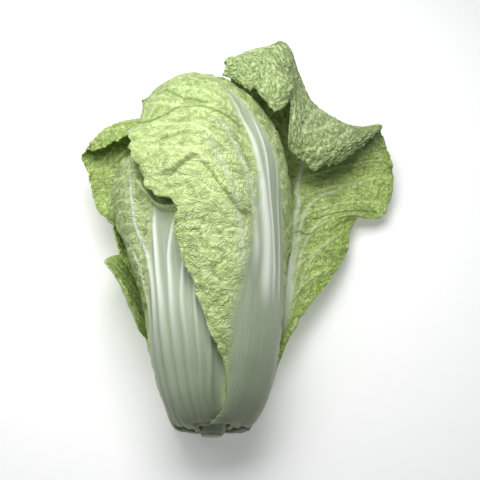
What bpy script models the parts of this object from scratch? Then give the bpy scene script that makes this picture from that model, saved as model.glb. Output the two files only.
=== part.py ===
"""A napa cabbage lying on its side, as cut: the stem, the heart, the head leaves wrapped round it
and the loose outer leaves. Lengths are in millimetres and angles in degrees until a mesh is made.

The head is laid out on a chart: b is the distance along the heart's outline from the cut, theta
goes round the head's axis from its right side over the top, and h is the height above the heart.
"""

import math
from dataclasses import dataclass

import bpy
import numpy as np

MM = 0.001
TURN = 2 * math.pi

# Outline of the heart: (distance along the axis, radius).
HEART_OUTLINE = (
    (0, 7), (12, 11), (24, 17), (60, 25), (110, 33), (165, 42), (208, 46), (240, 42), (262, 28), (272, 0),
)
HEART_FROM = 14.0  # where the heart starts above the cut
LEAF_FROM = 5.0  # where the leaves start on the chart
BUTT_ROUND = 40.0  # over this length from there the layers turn in towards the cut
BUTT_LEAN = math.radians(68)  # how far they turn
STEM_RADIUS = 8.2
STEM_FROM = 2.0  # where it is cut off
STEM_TOP = 4.0
STEM_LENGTH = 52.0
RECESS = 0.4  # air between the stem and the heart

# How the head lies: base down, top leaning to the left.
TILT = math.radians(4.6)
LEAN = -14.0
HEAD_LENGTH = 300.0
AXIS_SIDE = 4.0
AXIS_HEIGHT = 42.7
ORIGIN = (25.4, 168.1)  # the middle of the footprint
OFF_FLOOR = 2.0  # loose leaves hang this far above the surface, and the head stands on it

SHOULDER = 215.0  # where the head is widest
CROWN = 60.0  # leaves close over the top within this distance of its middle
# The butt is drawn in: heights near the cut are scaled by these shares.
DRAWN_IN = ((5, 0.38), (12, 0.53), (26, 0.8), (42, 0.95), (62, 1), (80, 1))
LAYER_GAP = 1.8  # air between one leaf and the next
BLADE = 1.3  # thickness of the green blade
EDGE_WAVE = 2.5  # how far the edges run in and out
EDGE_LIFT = 1.5  # how far they stand off
LEAST = 1.0  # thickness left where a leaf is pressed flat
STANDS_AWAY = 24.0  # leaves this far off the head carry no others


def smooth(pairs, x):
    """A monotone cubic through (station, value) pairs, level past both ends."""
    p, q = np.array(pairs, float).T
    step = np.diff(p)
    slope = np.diff(q) / step
    tangent = np.zeros_like(q)
    tangent[0], tangent[-1] = slope[0], slope[-1]
    product = slope[1:] * slope[:-1]
    rising = product > 0
    tangent[1:-1][rising] = 2 * product[rising] / (slope[1:] + slope[:-1])[rising]
    x = np.clip(x, p[0], p[-1])
    i = np.clip(np.searchsorted(p, x, side="right") - 1, 0, len(step) - 1)
    t = (x - p[i]) / step[i]
    start = (1 + 2 * t) * (1 - t) ** 2 * q[i] + t * (1 - t) ** 2 * step[i] * tangent[i]
    end = t * t * (3 - 2 * t) * q[i + 1] - t * t * (1 - t) * step[i] * tangent[i + 1]
    return start + end


def ease(x):
    """0 below 0, 1 above 1, and a smooth step between."""
    x = np.clip(x, 0, 1)
    return x * x * (3 - 2 * x)


def lattice(i, j, seed):
    """A repeatable random number from 0 to 1 for each whole-numbered place."""
    n = i.astype(np.int64) * 374761393 + j.astype(np.int64) * 668265263 + seed * 974634777
    n = n & 0xFFFFFFFF
    n = ((n ^ (n >> 13)) * 1274126177) & 0xFFFFFFFF
    return ((n ^ (n >> 16)) & 0xFFFF) / 65535.0


def noise(x, y, seed):
    """Smooth noise from -1 to 1 with features about one unit across."""
    i, j = np.floor(x), np.floor(y)
    s, t = ease(x - i), ease(y - j)
    low = lattice(i, j, seed) * (1 - s) + lattice(i + 1, j, seed) * s
    high = lattice(i, j + 1, seed) * (1 - s) + lattice(i + 1, j + 1, seed) * s
    return 2 * (low * (1 - t) + high * t) - 1


class Chart:
    """Turns places on the head (b, theta, h) into points, and points back into places."""

    def __init__(self):
        y, r = np.array(HEART_OUTLINE, float).T
        chord = np.concatenate([[0], np.cumsum(np.hypot(np.diff(y), np.diff(r)))])
        t = np.linspace(0, chord[-1], 400)
        self.y = smooth(list(zip(chord, y)), t)
        self.r = smooth(list(zip(chord, r)), t)
        self.b = np.concatenate([[0], np.cumsum(np.hypot(np.diff(self.y), np.diff(self.r)))])
        lean = np.maximum(np.arctan2(-np.gradient(self.r), np.gradient(self.y)), 0)
        lean[-1] = math.pi / 2
        lean -= BUTT_LEAN * (1 - ease((self.b - LEAF_FROM) / BUTT_ROUND))
        for _ in range(60):
            lean[1:-1] = (lean[:-2] + 2 * lean[1:-1] + lean[2:]) / 4
        self.lean = lean
        self.length = self.b[-1]

    def point(self, b, theta, h):
        lean = np.interp(b, self.b, self.lean)
        h = h * smooth(DRAWN_IN, b)
        r = np.interp(b, self.b, self.r) + h * np.cos(lean)
        y = np.interp(b, self.b, self.y) + h * np.sin(lean)
        return np.stack([r * np.cos(theta), y, r * np.sin(theta)], -1)

    def place_of(self, points):
        """(b, theta, h) of points off the head: the fibre of the chart that runs through each."""
        x, y, z = np.moveaxis(points, -1, 0)
        r = np.hypot(x, z)
        dy = y[..., None] - self.y
        dr = r[..., None] - self.r
        side = dy * np.cos(self.lean) - dr * np.sin(self.lean)
        i = np.clip((side > 0).sum(-1) - 1, 0, len(self.b) - 2)
        here = np.take_along_axis(side, i[..., None], -1)[..., 0]
        after = np.take_along_axis(side, i[..., None] + 1, -1)[..., 0]
        part = np.clip(here / np.where(here == after, 1, here - after), 0, 1)
        b = self.b[i] + part * (self.b[i + 1] - self.b[i])
        lean = np.interp(b, self.b, self.lean)
        r0, y0 = np.interp(b, self.b, self.r), np.interp(b, self.b, self.y)
        h = (r - r0) * np.cos(lean) + (y - y0) * np.sin(lean)
        return b, np.arctan2(z, x), h / smooth(DRAWN_IN, b)


def lay_down(points):
    """Puts points of the upright chart where they lie, in millimetres from the cut."""
    x, y, z = np.moveaxis(points, -1, 0)
    x = x + AXIS_SIDE + LEAN * (np.clip(y, 0, None) / HEAD_LENGTH) ** 2
    c, s = math.cos(TILT), math.sin(TILT)
    return np.stack([x, y * c - z * s, z * c + y * s + AXIS_HEIGHT], -1)


def stand_up(points):
    """The way back: points where they lie, as points of the upright chart."""
    x, y, z = np.moveaxis(points, -1, 0)
    z = z - AXIS_HEIGHT
    c, s = math.cos(TILT), math.sin(TILT)
    y, z = y * c + z * s, z * c - y * s
    return np.stack([x - AXIS_SIDE - LEAN * (np.clip(y, 0, None) / HEAD_LENGTH) ** 2, y, z], -1)


class Pile:
    """How high the leaves laid so far reach above the heart, on a grid over the chart."""

    STEP = 4.0  # mm along the head
    ROUND = 120  # cells round it

    def __init__(self, chart):
        self.rows = int(chart.length / self.STEP) + 2
        self.h = np.zeros((self.rows, self.ROUND))

    def cells(self, b, theta):
        around = np.mod(theta, TURN) / TURN * self.ROUND
        return np.clip(b / self.STEP, 0, self.rows - 1.001), around

    def lay(self, b, theta, h):
        i, j = self.cells(b, theta)
        cell = np.round(i).astype(int), np.round(j).astype(int) % self.ROUND
        np.maximum.at(self.h, cell, h)

    def cover(self):
        """A smooth sheet drawn over everything laid so far."""
        e = np.pad(self.h, ((8, 0), (0, 0)), mode="edge")
        # past the top the sheet goes on down the far side
        e = np.concatenate([e, np.roll(self.h[:-9:-1], self.ROUND // 2, 1)])
        for _ in range(3):
            around = np.maximum(np.roll(e, 1, 1), np.roll(e, -1, 1))
            along = np.maximum(np.roll(e, 1, 0), np.roll(e, -1, 0))
            e = np.maximum(e, np.maximum(around, along))
        for _ in range(6):
            e = (np.roll(e, 1, 0) + 2 * e + np.roll(e, -1, 0)) / 4
            e = (np.roll(e, 1, 1) + 2 * e + np.roll(e, -1, 1)) / 4
        e = e[8:-8]
        # near the top the cells are narrow, so they are evened out all round it
        for k in range(6):
            level = e[-1 - k].mean()
            e[-1 - k] = level + (e[-1 - k] - level) * k / 6
        return e

    def read(self, sheet, b, theta):
        i, j = self.cells(b, theta)
        i0, j0 = i.astype(int), j.astype(int) % self.ROUND
        s, t = i - i0, j - np.floor(j)
        j1 = (j0 + 1) % self.ROUND
        low = sheet[i0, j0] * (1 - t) + sheet[i0, j1] * t
        high = sheet[i0 + 1, j0] * (1 - t) + sheet[i0 + 1, j1] * t
        return low * (1 - s) + high * s


# Stations along a leaf from its base, each with a value in mm.
STALK = ((0, 14), (30, 24), (80, 29), (140, 27), (190, 18), (240, 10), (300, 5))
BODY = ((0, 0), (12, 3.0), (35, 4.6), (70, 4.6), (120, 3.2), (180, 1.2), (240, 0.4), (300, 0.1))
PITCH = ((0, 5.6), (60, 8.5), (120, 10), (170, 13), (230, 20), (300, 28))
RISE = ((0, 0.3), (20, 2.0), (90, 2.4), (150, 2.0), (210, 1.4), (280, 0.7))
WIDTH = ((0, 17), (30, 27), (80, 38), (130, 58), (180, 78), (230, 72), (280, 52), (330, 44))
NONE = ((0, 0), (300, 0))


@dataclass
class Fold:
    """A crease across a leaf: the blade steps up past it and settles back further on."""

    line: tuple  # where it runs: (a, t) points in mm
    height: float
    past: int  # 1 if the tip side is the high one, -1 if the base side is
    reach: float  # how far on the step has faded

    STEP = 4.0
    FADE = 14.0

    def height_at(self, t, a):
        beyond = self.past * (t - smooth(self.line, a))
        ends = ease((a - self.line[0][0]) / self.FADE + 1) * ease((self.line[-1][0] - a) / self.FADE + 1)
        fading = np.exp(-np.maximum(beyond, 0) / self.reach)
        return self.height * ends * ease(beyond / self.STEP + 0.5) * fading


@dataclass
class Leaf:
    name: str
    colour: str
    angle: float  # where its midrib runs, round the head
    length: float
    left: tuple = WIDTH
    right: tuple = WIDTH
    stalk: tuple = STALK  # half-width of the thick white part
    body: tuple = BODY  # how much thicker that is
    pitch: tuple = PITCH  # distance from rib to rib
    rise: tuple = RISE  # height of the ribs
    ribs: int = 1  # on each side of the midrib
    spread: float = 0.42  # width of a rib, as a share of the pitch
    flare_left: tuple = NONE  # how far the edges stand away
    flare_right: tuple = NONE
    # Where the edge over the top runs, from left to right: share of the width, and how far short
    # of the top's middle and how far aside of it, in mm. Without it the leaf ends on the side.
    over: tuple = ((-1, 12, -46), (-0.5, -6, -26), (0, -14, 0), (0.5, -6, 26), (1, 12, 46))
    ends: tuple = ((-1, 0.84), (-0.5, 0.97), (0, 1), (0.5, 0.97), (1, 0.84))  # share of the length
    waves: float = 3.0
    folds: tuple = ()
    seed: int = 1
    rows: int = 19
    cols: int = 4  # in the blade on each side
    net: tuple = ()  # points a loose leaf hangs through, row by row from its base
    midrib: float = 2.0  # the column of the net its midrib follows
    cuts: tuple = ()  # notches in the far edge: (column, depth as a share of the length, width)

    def thickness(self, t, a):
        stalk = smooth(self.stalk, t)
        pitch = smooth(self.pitch, t)
        ribs = np.zeros_like(a)
        for i in range(-self.ribs, self.ribs + 1):
            ribs += np.exp(-(((a - i * pitch) / (self.spread * pitch)) ** 2))
        body = smooth(self.body, t) * np.exp(-np.abs(a / stalk) ** 3)
        return BLADE + body + smooth(self.rise, t) * ribs

    def waving(self, t, a, to_edge):
        """How far the blade swells off what lies under it."""
        stalk = smooth(self.stalk, t)
        blade = ease((np.abs(a) - 0.6 * stalk) / 25) * ease((t - 60) / 80)
        swell = 0.5 + 0.5 * noise(a / 24 + 7, t / 24, self.seed)
        swell = blade * (self.waves * swell + EDGE_LIFT * ease(1 - to_edge / 12))
        for fold in self.folds:
            swell += fold.height_at(t, a)
        return swell

    def grid(self, rows, cols):
        """Places on the flat leaf: t from the base, a across it, its share of the half-width."""
        v = np.linspace(0, 1, rows)[:, None]
        k = self.ribs
        t = LEAF_FROM + v * (self.length - LEAF_FROM)
        left, right = smooth(self.left, t), smooth(self.right, t)
        edge = EDGE_WAVE * ease((t - 90) / 60)
        left = left + edge * noise(t / 17, t * 0 + 3, self.seed)
        right = right + edge * noise(t / 17, t * 0 + 9, self.seed)
        middle = smooth(self.pitch, t) * np.arange(-k - 0.5, k + 0.6, 0.5)
        across = np.linspace(0, 1, cols + 1)[1:]
        inset = 0.8 / (k + 1)
        first = np.minimum(middle[:, :1], -inset * left)
        first = np.maximum(first, -0.8 * left)
        last = np.clip(middle[:, -1:], inset * right, 0.8 * right)
        squeeze = np.where(middle < 0, first / middle[:, :1], last / middle[:, -1:])
        middle = middle * squeeze
        a = np.concatenate(
            [(first + (-left - first) * across)[:, ::-1], middle, last + (right - last) * across], 1
        )
        share = np.where(a < 0, a / left, a / right)
        to_edge = (1 - np.abs(share)) * np.where(a < 0, left, right)
        if not self.over:
            t = t * (1 - (1 - smooth(self.ends, share)) * ease((v - 0.35) / 0.65))
        to_tip = self.length - t
        return t + 0 * a, a, share, np.minimum(to_edge, to_tip)


def drape(chart, cover, leaf, t, a, share):
    """Chart places of points on a flat leaf: straight up the side, then on over the top."""
    b = np.minimum(t[:, :1], SHOULDER)
    rows = (b / Pile.STEP).astype(int)[:, 0]
    girth = np.interp(b, chart.b, chart.r) + cover[rows].mean(-1)[:, None] + LAYER_GAP
    surface = chart.b + cover[int(SHOULDER / Pile.STEP) :].mean() * chart.lean
    top = surface[-1]
    short = np.maximum(top - t, CROWN if leaf.over else 0)
    short, aside = short * np.cos(a / girth), short * np.sin(a / girth)
    if leaf.over:
        shares, shorts, asides = zip(*leaf.over)
        gone = np.clip((t - top + CROWN) / (leaf.length - top + CROWN), 0, 1)
        short = short * (1 - gone) + gone * smooth(list(zip(shares, shorts)), share)
        aside = aside * (1 - gone) + gone * smooth(list(zip(shares, asides)), share)
    theta = math.radians(leaf.angle) - np.arctan2(aside, short)
    return np.interp(top - np.hypot(short, aside), surface, chart.b), theta


def head_leaf(chart, pile, cover, leaf, rows, cols):
    """A leaf laid on the pile: chart places, and the heights of its two faces."""
    t, a, share, to_edge = leaf.grid(rows, cols)
    b, theta = drape(chart, cover, leaf, t, a, share)
    inner = pile.read(cover, b, theta) + LAYER_GAP + leaf.waving(t, a, to_edge)
    inner += smooth(leaf.flare_left, t) * ease(-share) + smooth(leaf.flare_right, t) * ease(share)
    return b, theta, inner, inner + leaf.thickness(t, a)


def spline(count, x):
    """Catmull-Rom weights of count evenly spaced stations at each place x."""
    i = np.clip(x.astype(int), 0, count - 2)
    t = x - i
    weights = np.zeros((len(x), count + 2))
    basis = (
        (-t + 2 * t**2 - t**3) / 2,
        (2 - 5 * t**2 + 3 * t**3) / 2,
        (t + 4 * t**2 - 3 * t**3) / 2,
        (-(t**2) + t**3) / 2,
    )
    for k, part in enumerate(basis):
        weights[np.arange(len(x)), i + k] += part
    # past the ends the stations go straight on
    first, last = weights[:, :1], weights[:, -1:]
    inside = weights[:, 1:-1].copy()
    inside[:, :1] += 2 * first
    inside[:, 1:2] -= first
    inside[:, -1:] += 2 * last
    inside[:, -2:-1] -= last
    return inside


def normals(points):
    n = np.cross(np.gradient(points, axis=0), np.gradient(points, axis=1))
    n /= np.linalg.norm(n, axis=-1, keepdims=True) + 1e-9
    for _ in range(2):
        n[1:-1] = n[:-2] + 2 * n[1:-1] + n[2:]
        n[:, 1:-1] = n[:, :-2] + 2 * n[:, 1:-1] + n[:, 2:]
        n /= np.linalg.norm(n, axis=-1, keepdims=True) + 1e-9
    return n


def clear_of_head(chart, pile, cover, points, gap):
    """Moves points out to where they clear the head, and leaves the rest where they are."""
    b, theta, h = chart.place_of(stand_up(points))
    least = pile.read(cover, b, theta) + gap
    over = h - least
    soft = 2.0
    lifted = least + (over + np.sqrt(over**2 + soft**2)) / 2
    return np.where((over < 12)[..., None], lay_down(chart.point(b, theta, lifted)), points)


def loose_leaf(chart, pile, cover, leaf, rows, cols):
    """The two faces of a leaf that hangs through its net, clear of the head."""
    net = np.array(leaf.net, float)
    u, v = np.meshgrid(np.linspace(0, 1, rows), np.linspace(-1, 1, cols), indexing="ij")
    ragged = 0.035 * ease(u * 3) * noise(u * 16, np.sign(v) * 5, leaf.seed)
    middle = leaf.midrib
    column = middle + np.where(v < 0, middle, net.shape[1] - 1 - middle) * v * (0.965 + ragged)
    ends = 1 - 0.012 * (1 + noise(v * 8, u * 0, leaf.seed)) * ease(u * 4 - 3)
    for place, depth, width in leaf.cuts:
        ends = ends - depth * np.exp(-(((column - place) / width) ** 2)) * ease(u * 4 - 3)
    along = spline(net.shape[0], (u * ends * (net.shape[0] - 1)).ravel())
    across = spline(net.shape[1], column.ravel())
    inner = np.einsum("pi,ijk,pj->pk", along, net, across).reshape(rows, cols, 3)
    step = np.linalg.norm(np.diff(inner, axis=1), axis=-1)
    a = np.concatenate([np.zeros((rows, 1)), np.cumsum(step, 1)], 1)
    to_edge = np.minimum(a, a[:, -1:] - a)
    a = a - np.take_along_axis(a, np.abs(v).argmin(1)[:, None], 1)
    t = u * leaf.length
    away = normals(inner)
    swell = noise(a / 24 + 7, t / 24, leaf.seed) * ease((np.abs(a) - 10) / 25) * ease((t - 60) / 80)
    ruffle = noise(t / 13, a / 60, leaf.seed + 1) * ease(1 - to_edge / 22) * ease((t - 60) / 60)
    inner = inner + away * (leaf.waves * (0.6 * swell + ruffle))[..., None]
    inner = clear_of_head(chart, pile, cover, inner, LAYER_GAP)
    outer = inner + normals(inner) * leaf.thickness(t, a)[..., None]
    lift = np.maximum(OFF_FLOOR - outer[..., 2], 0)[..., None] * (0, 0, 1)
    return inner + lift, outer + lift


def solid(name, colour, inner, outer):
    """One closed body between two like grids of points, given in millimetres from the cut."""
    rows, cols, _ = outer.shape
    count = rows * cols
    index = np.arange(count).reshape(rows, cols)
    a, b, c, d = index[:-1, :-1], index[:-1, 1:], index[1:, 1:], index[1:, :-1]
    face = np.concatenate([np.stack([a, b, c], -1).reshape(-1, 3), np.stack([a, c, d], -1).reshape(-1, 3)])
    rim = np.concatenate([index[0, :-1], index[:-1, -1], index[-1, :0:-1], index[:0:-1, 0]])
    after = np.roll(rim, -1)
    side = np.concatenate(
        [np.stack([after, rim, rim + count], -1), np.stack([after, rim + count, after + count], -1)]
    )
    faces = np.concatenate([face, face[:, ::-1] + count, side])
    return body(name, colour, np.concatenate([outer.reshape(-1, 3), inner.reshape(-1, 3)]), faces)


def body(name, colour, points, faces):
    """A mesh object whose faces look out."""
    points = (points - (*ORIGIN, 0)) * MM
    p, q, r = points[faces[:, 0]], points[faces[:, 1]], points[faces[:, 2]]
    if np.einsum("ij,ij->", p, np.cross(q, r)) < 0:
        faces = faces[:, ::-1]
    mesh = bpy.data.meshes.new(name)
    mesh.from_pydata(points.tolist(), [], faces.tolist())
    mesh.update()
    thing = bpy.data.objects.new(name, mesh)
    bpy.context.scene.collection.objects.link(thing)
    mesh.materials.append(material(colour))
    return thing


# Material slots: colour and roughness.
COLOURS = {
    "stem": ((0.62, 0.66, 0.46), 0.6),
    "heart": ((0.78, 0.80, 0.42), 0.5),
    "head_leaf": ((0.62, 0.74, 0.38), 0.45),
    "outer_leaf": ((0.34, 0.50, 0.18), 0.45),
}


def material(slot):
    found = bpy.data.materials.get(slot)
    if found:
        return found
    made = bpy.data.materials.new(slot)
    made.use_nodes = True
    shader = made.node_tree.nodes["Principled BSDF"]
    colour, rough = COLOURS[slot]
    shader.inputs["Base Color"].default_value = (*colour, 1)
    shader.inputs["Roughness"].default_value = rough
    made.diffuse_color = (*colour, 1)
    return made


def spun(name, colour, profile, around):
    """A closed body of revolution from (distance along, radius) pairs that start and end on the axis."""
    y, r = np.array(profile[1:-1], float).T[..., None]
    theta = np.arange(around) / around * TURN
    ring = np.stack([r * np.cos(theta), y + 0 * theta, r * np.sin(theta)], -1)
    ends = np.array([[0, profile[0][0], 0], [0, profile[-1][0], 0]], float)
    points = lay_down(np.concatenate([ring.reshape(-1, 3), ends]))
    index = np.arange(ring.shape[0] * around).reshape(-1, around)
    after = np.roll(index, -1, 1)
    a, b, c, d = index[:-1], after[:-1], after[1:], index[1:]
    first, last = len(points) - 2 + 0 * index[0], len(points) - 1 + 0 * index[0]
    faces = np.concatenate(
        [
            np.stack([a, b, c], -1).reshape(-1, 3),
            np.stack([a, c, d], -1).reshape(-1, 3),
            np.stack([first, after[0], index[0]], -1),
            np.stack([last, index[-1], after[-1]], -1),
        ]
    )
    return body(name, colour, points, faces)


def stem_radius(share):
    return STEM_RADIUS + (STEM_TOP - STEM_RADIUS) * share**1.3


def stem():
    """The core the leaves grow from, cut off flat below."""
    profile = [(STEM_FROM, 0), (STEM_FROM, STEM_RADIUS - 0.8), (STEM_FROM + 0.8, STEM_RADIUS)]
    profile += [(share * STEM_LENGTH, stem_radius(share)) for share in np.linspace(0.15, 1, 6)]
    profile += [(STEM_LENGTH + 2, STEM_TOP * 0.6), (STEM_LENGTH + 3, 0)]
    return spun("stem", "stem", profile, 20)


def heart(chart):
    """The packed young leaves in the middle, hollow below where the stem stands in them."""
    recess = [(STEM_LENGTH + 5, 0), (STEM_LENGTH + 4, STEM_TOP + RECESS)]
    for share in np.linspace(0.85, 0.3, 4):
        recess.append((share * STEM_LENGTH, stem_radius(share) + RECESS))
    recess.append((HEART_FROM, STEM_RADIUS + RECESS))
    b = np.linspace(np.interp(HEART_FROM, chart.y, chart.b), chart.length - 3, 18)
    outline = list(zip(np.interp(b, chart.b, chart.y), np.interp(b, chart.b, chart.r)))
    return spun("heart", "heart", recess + outline + [(chart.y[-1], 0)], 20)


HEAD_LEAVES = (
    Leaf("inner_leaf_top", "head_leaf", 75, 350, seed=3),
    Leaf("inner_leaf_left", "head_leaf", 205, 350, seed=4),
    Leaf("inner_leaf_right", "head_leaf", 325, 350, seed=5),
    Leaf("inner_leaf_upper_left", "head_leaf", 150, 350, seed=6),
    Leaf("inner_leaf_upper_right", "head_leaf", 20, 350, seed=7),
    Leaf("bottom_leaf", "head_leaf", 268, 350, seed=8, rows=21),
    Leaf(
        "head_leaf_left", "head_leaf", 117, 216,
        left=((0, 17), (30, 28), (60, 36), (92, 40), (122, 48), (144, 62), (168, 68), (216, 60)),
        right=((0, 22), (20, 29), (40, 38), (60, 44), (100, 48), (140, 48), (180, 44), (216, 36)),
        flare_left=((0, 0), (110, 0), (150, 4), (190, 11), (216, 11)), over=(),
        ends=((-1, 0.9), (-0.6, 1), (-0.3, 1), (-0.05, 0.94), (0.3, 0.9), (1, 0.84)),
        folds=(Fold(((-16, 182), (-6, 168), (6, 164), (18, 166)), 5, 1, 90),),
        ribs=2, seed=9, rows=22, cols=6,
    ),
    Leaf(
        "head_leaf_right", "head_leaf", 40, 350,
        left=(
            (12, 19), (26, 21), (44, 26), (58, 33), (86, 49), (108, 57), (126, 69), (140, 73),
            (166, 76), (171, 87), (180, 97), (204, 107), (222, 112), (262, 119), (285, 122),
        ),
        right=((0, 17), (30, 30), (60, 40), (110, 50), (160, 62), (210, 66), (285, 68)),
        folds=(
            Fold(((-86, 188), (-78, 192), (-68, 195), (-60, 183), (-50, 169), (-34, 158)), 5, 1, 40),
            Fold(((-108, 250), (-88, 250), (-62, 245), (-50, 241), (-36, 230), (-22, 223)), 5, -1, 30),
        ),
        over=((-1, -30, -42), (-0.5, -20, -22), (0, -14, 0), (0.5, 6, 22), (1, 24, 40)),
        ribs=2, spread=0.55, seed=10, rows=24, cols=7,
    ),
)

OUTER_RIGHT = (
    ((12, 10, 19), (16, 10, 21), (20, 10, 24), (24, 10, 28), (27, 10, 33), (29, 10, 38)),
    ((16, 40, 6), (24, 40, 8), (31, 40, 12), (37, 40, 17), (42, 40, 22), (45, 40, 28)),
    ((22, 80, 4), (32, 80, 8), (42, 80, 14), (50, 80, 22), (56, 80, 30), (61, 84, 38)),
    ((28, 115, 5), (40, 115, 11), (52, 115, 20), (60, 115, 32), (76, 120, 32), (96, 126, 26)),
    ((30, 150, 4), (44, 150, 10), (56, 150, 20), (64, 150, 33), (88, 155, 29), (116, 158, 19)),
    ((32, 185, 4), (46, 185, 10), (59, 185, 20), (69, 184, 32), (99, 189, 26), (131, 194, 16)),
    ((34, 225, 8), (50, 222, 14), (64, 220, 22), (78, 218, 30), (115, 214, 22), (158, 199, 17)),
    ((36, 265, 16), (54, 262, 22), (70, 258, 28), (88, 250, 30), (123, 245, 24), (164, 238, 20)),
    ((16, 304, 58), (50, 308, 50), (74, 300, 50), (96, 276, 42), (128, 262, 34), (160, 260, 28)),
    ((13, 303, 94), (49, 321, 90), (65, 331, 80), (83, 290, 60), (120, 270, 46), (154, 279, 36)),
    ((12, 288, 106), (34, 289, 105), (61, 284, 98), (77, 252, 74), (109, 244, 58), (150, 274, 42)),
    ((7, 277, 110), (31, 262, 105), (53, 245, 97), (67, 227, 68), (94, 223, 50), (146, 269, 42)),
)

OUTER_LEFT = (
    ((-18, 10, 31), (-16, 10, 27), (-13, 10, 23), (-9, 10, 20), (-4, 10, 18)),
    ((-29, 40, 24), (-26, 40, 19), (-22, 40, 14), (-16, 40, 10), (-9, 40, 6)),
    ((-43, 90, 32), (-40, 90, 25), (-35, 90, 17), (-28, 90, 11), (-16, 90, 6)),
    ((-58, 138, 52), (-57, 135, 44), (-54, 135, 33), (-42, 135, 16), (-25, 135, 5)),
    ((-80, 171, 56), (-74, 170, 48), (-66, 170, 36), (-52, 170, 17), (-30, 170, 5)),
    ((-99, 199, 50), (-85, 200, 45), (-70, 200, 36), (-54, 200, 18), (-32, 200, 7)),
    ((-101, 214, 50), (-88, 220, 42), (-73, 225, 36), (-56, 226, 20), (-34, 228, 10)),
    ((-110, 235, 50), (-95, 246, 44), (-77, 252, 38), (-58, 258, 26), (-38, 262, 16)),
    ((-104, 246, 54), (-92, 261, 53), (-79, 270, 51), (-61, 274, 48), (-41, 278, 44)),
    ((-103, 236, 58), (-87, 240, 62), (-71, 250, 64), (-56, 262, 64), (-42, 272, 62)),
)

LOOSE_LEAVES = (
    Leaf("outer_leaf_right", "outer_leaf", 333, 400, net=OUTER_RIGHT, midrib=3, seed=11,
        body=((0, 1.5), (35, 3.4), (100, 3), (180, 1.6), (260, 0.5), (300, 0.1)),
        rows=28, cols=21, cuts=((2.4, 0.08, 0.22), (1.3, 0.02, 0.3))),
    Leaf("outer_leaf_left", "outer_leaf", 195, 330, net=OUTER_LEFT, midrib=3, seed=12,
        body=((0, 1), (35, 2.4), (100, 2), (180, 1), (300, 0.1)), rows=24, cols=14),
)

LOWER_LEAF = Leaf(
    "outer_leaf_lower", "outer_leaf", 228, 165,
    left=((0, 8), (30, 12), (80, 13), (130, 12), (165, 8)),
    right=((0, 6), (50, 9), (68, 18), (86, 66), (110, 80), (140, 76), (165, 60)),
    body=((0, 0), (12, 1.5), (60, 2.5), (120, 1.2), (165, 0.4)),
    flare_right=((0, 0), (80, 1), (108, 8), (140, 11), (165, 12)), over=(), waves=1.5, seed=13, rows=14,
)


def build():
    for thing in list(bpy.data.objects):
        bpy.data.objects.remove(thing)
    chart = Chart()
    pile = Pile(chart)
    stem()
    heart(chart)
    for leaf in HEAD_LEAVES:
        lay_head_leaf(chart, pile, leaf)
    cover = pile.cover()
    for leaf in LOOSE_LEAVES:
        inner, outer = loose_leaf(chart, pile, cover, leaf, leaf.rows, leaf.cols)
        solid(leaf.name, leaf.colour, inner, outer)
        add_to_pile(chart, pile, cover, outer)
    lay_head_leaf(chart, pile, LOWER_LEAF)


def lay_head_leaf(chart, pile, leaf):
    cover = pile.cover()
    b, theta, inner, outer = head_leaf(chart, pile, cover, leaf, leaf.rows, leaf.cols)
    inner, outer = (lay_down(chart.point(b, theta, h)) for h in (inner, outer))
    outer[..., 2] = np.maximum(outer[..., 2], 0)
    inner[..., 2] = np.maximum(inner[..., 2], LEAST)
    solid(leaf.name, leaf.colour, inner, outer)
    add_to_pile(chart, pile, cover, outer)


def add_to_pile(chart, pile, cover, outer):
    """Lays the flat facets of an outer face on the pile, but for what stands well away from it."""
    for axis in (0, 1):
        x = np.linspace(0, outer.shape[axis] - 1, (outer.shape[axis] - 1) * 5 + 1)
        i = np.minimum(x.astype(int), outer.shape[axis] - 2)
        part = np.expand_dims(x - i, (1, 2) if axis == 0 else (0, 2))
        outer = np.take(outer, i, axis) * (1 - part) + np.take(outer, i + 1, axis) * part
    b, theta, h = chart.place_of(stand_up(outer))
    near = h < pile.read(cover, b, theta) + STANDS_AWAY
    pile.lay(b[near], theta[near], h[near])


build()
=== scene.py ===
"""The looks of the napa cabbage: every leaf again at full detail, on the same chart as the
solids, with its veins and crinkles, and its materials. Lengths are in millimetres and angles in
degrees until a mesh is made.
"""

import math
from dataclasses import dataclass, replace

import bpy
import numpy as np
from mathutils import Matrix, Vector


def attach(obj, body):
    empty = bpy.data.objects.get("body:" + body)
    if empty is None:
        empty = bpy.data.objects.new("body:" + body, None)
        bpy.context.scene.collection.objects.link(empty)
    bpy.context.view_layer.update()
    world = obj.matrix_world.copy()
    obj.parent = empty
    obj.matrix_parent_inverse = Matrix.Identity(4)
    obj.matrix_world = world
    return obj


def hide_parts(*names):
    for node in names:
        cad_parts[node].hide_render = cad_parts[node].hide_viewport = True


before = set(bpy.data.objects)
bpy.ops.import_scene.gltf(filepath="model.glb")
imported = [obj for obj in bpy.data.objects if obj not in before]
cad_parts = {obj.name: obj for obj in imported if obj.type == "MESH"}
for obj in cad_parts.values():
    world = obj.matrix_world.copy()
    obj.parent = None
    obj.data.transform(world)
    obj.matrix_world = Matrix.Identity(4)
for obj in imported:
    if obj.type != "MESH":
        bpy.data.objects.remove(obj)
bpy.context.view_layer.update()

MM = 0.001
TURN = 2 * math.pi

# The camera looks down on the head from beyond its base, and the floor lies just under the leaves.
LENS = 60  # mm, on the default sensor
LOOK_AT = (25, 162, 45)  # the point in the middle of the picture
CAMERA_AWAY = 0.66  # m
CAMERA_RISE = math.radians(65)
FLOOR_HEIGHT = -0.0002  # m

# Outline of the heart: (distance along the axis, radius).
HEART_OUTLINE = (
    (0, 7), (12, 11), (24, 17), (60, 25), (110, 33), (165, 42), (208, 46), (240, 42), (262, 28), (272, 0),
)
LEAF_FROM = 5.0  # where the leaves start on the chart
BUTT_ROUND = 40.0  # over this length from there the layers turn in towards the cut
BUTT_LEAN = math.radians(68)  # how far they turn

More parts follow.
